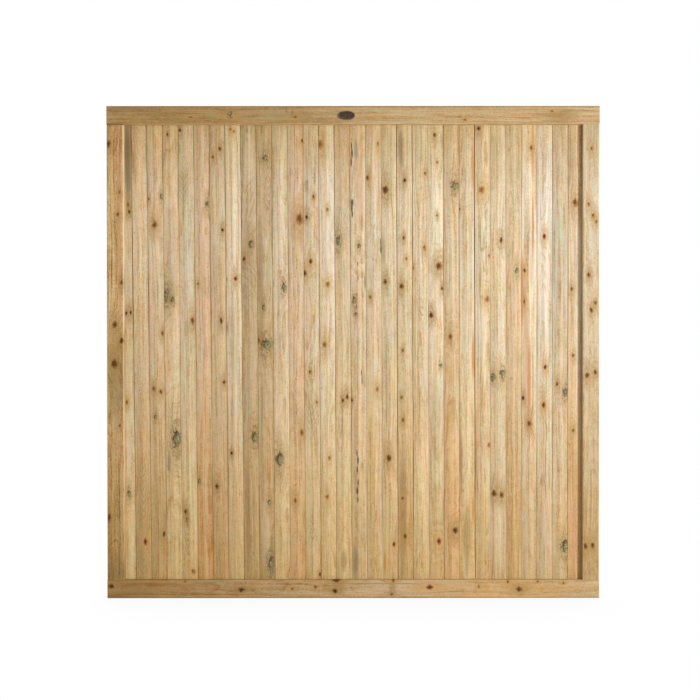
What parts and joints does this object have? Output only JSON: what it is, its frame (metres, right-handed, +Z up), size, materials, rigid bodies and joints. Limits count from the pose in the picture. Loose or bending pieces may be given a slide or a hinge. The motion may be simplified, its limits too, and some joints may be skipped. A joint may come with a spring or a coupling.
{
  "type": "acoustic fence panel",
  "caption": "Square timber acoustic fence panel: upright ridged tongue-and-groove boards seated in a grooved frame, with a bare oval plate on the top rail.",
  "frame": {"origin": "middle of the bottom edge, at half the frame's depth", "axes": "+Z up, +X to the right of someone who faces the front, the front looks along -Y"},
  "size_m": [1.83, 0.0538, 1.83],
  "materials": {
    "frame_timber": "sawn and planed",
    "board_timber": "planed",
    "screw_steel": "galvanised",
    "badge": "dark cast"
  },
  "bodies": {
    "root": {"top_rail": "frame_timber", "bottom_rail": "frame_timber", "left_stile": "frame_timber", "right_stile": "frame_timber", "board_01": "board_timber", "board_02": "board_timber", "board_03": "board_timber", "board_04": "board_timber", "board_05": "board_timber", "board_06": "board_timber", "board_07": "board_timber", "board_08": "board_timber", "board_09": "board_timber", "board_10": "board_timber", "board_11": "board_timber", "board_12": "board_timber", "board_13": "board_timber", "board_14": "board_timber", "board_15": "board_timber", "board_16": "board_timber", "board_17": "board_timber", "board_18": "board_timber", "board_19": "board_timber", "board_20": "board_timber", "board_21": "board_timber", "board_22": "board_timber", "board_23": "board_timber", "board_24": "board_timber", "board_25": "board_timber", "board_26": "board_timber", "board_27": "board_timber", "board_28": "board_timber", "board_29": "board_timber", "board_30": "board_timber", "frame_screws": "screw_steel", "badge_plate": "badge"}
  },
  "joints": []
}
